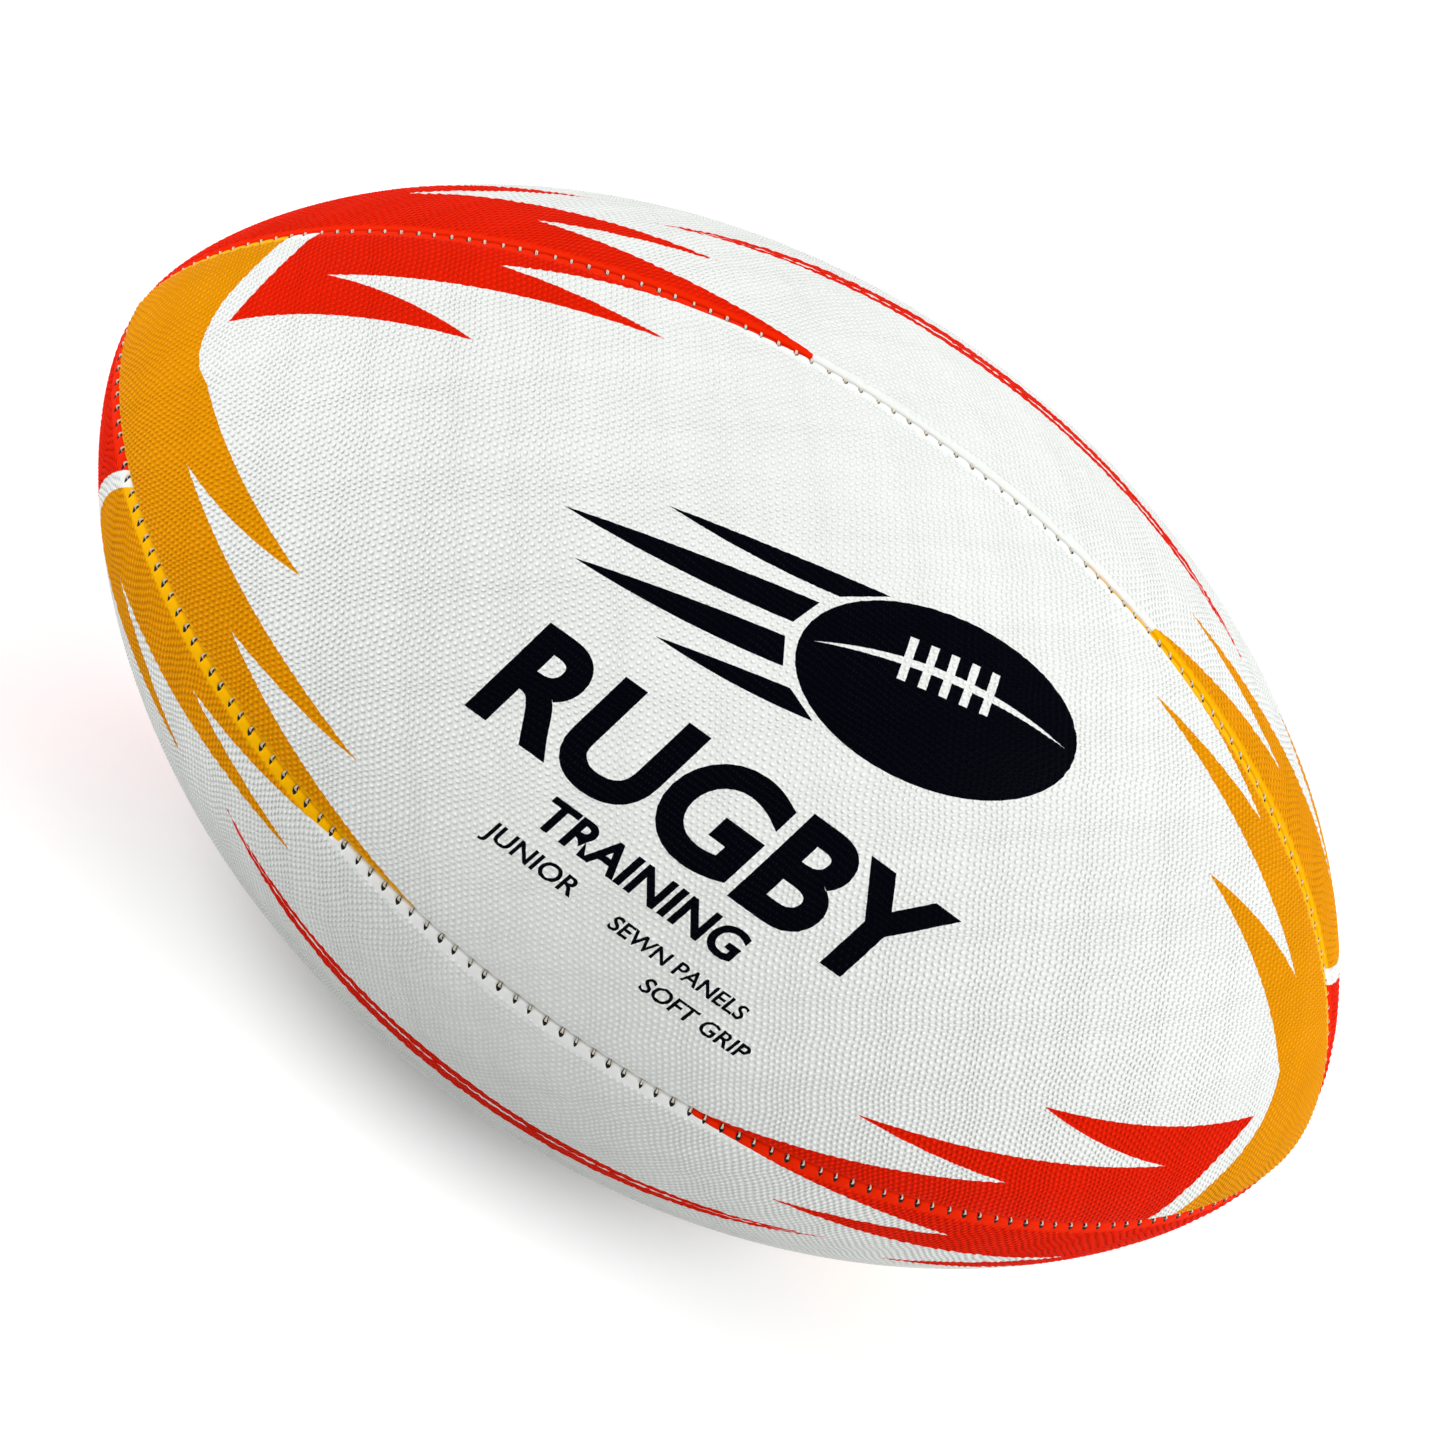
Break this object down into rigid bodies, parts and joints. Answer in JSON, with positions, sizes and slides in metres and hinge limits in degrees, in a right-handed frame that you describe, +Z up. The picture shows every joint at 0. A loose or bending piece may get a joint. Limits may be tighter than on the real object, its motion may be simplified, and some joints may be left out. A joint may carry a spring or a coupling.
{
  "type": "rugby ball",
  "caption": "Oval grip-surfaced rubber ball with stitched panels on cloth plies, an inner bladder and a plug valve.",
  "frame": {"origin": "centre of the ball, half way along its long axis", "axes": "+X along the long axis from pole to pole, +Z up with the ball lying on its side, -Y towards the panel that faces the viewer"},
  "size_m": [0.2796, 0.1768, 0.1768],
  "materials": {
    "cover_rubber": "matt pimpled white rubber with printed red, amber and black areas",
    "ply_cloth": "plain-woven backing cloth",
    "seam_thread": "twisted waxed thread",
    "bladder_rubber": "smooth black moulded rubber",
    "patch_cloth": "rubber-coated cloth",
    "valve_rubber": "moulded black rubber",
    "plug_rubber": "moulded grey rubber"
  },
  "bodies": {
    "ball": {"cover_front": "cover_rubber", "ply_outer_front": "ply_cloth", "ply_middle_front": "ply_cloth", "ply_inner_front": "ply_cloth", "cover_top": "cover_rubber", "ply_outer_top": "ply_cloth", "ply_middle_top": "ply_cloth", "ply_inner_top": "ply_cloth", "cover_back": "cover_rubber", "ply_outer_back": "ply_cloth", "ply_middle_back": "ply_cloth", "ply_inner_back": "ply_cloth", "cover_under": "cover_rubber", "ply_outer_under": "ply_cloth", "ply_middle_under": "ply_cloth", "ply_inner_under": "ply_cloth", "seam_thread_front_top": "seam_thread", "seam_thread_back_top": "seam_thread", "seam_thread_back_under": "seam_thread", "seam_thread_front_under": "seam_thread", "bladder": "bladder_rubber", "valve_patch": "patch_cloth", "valve_housing": "valve_rubber"},
    "plug": {"valve_plug": "plug_rubber"}
  },
  "joints": [
    {"name": "valve_plug_pull", "type": "slide", "parent": "ball", "child": "plug", "axis": [0, 0.8315, -0.5556], "range_m": [0, 0.02]}
  ]
}
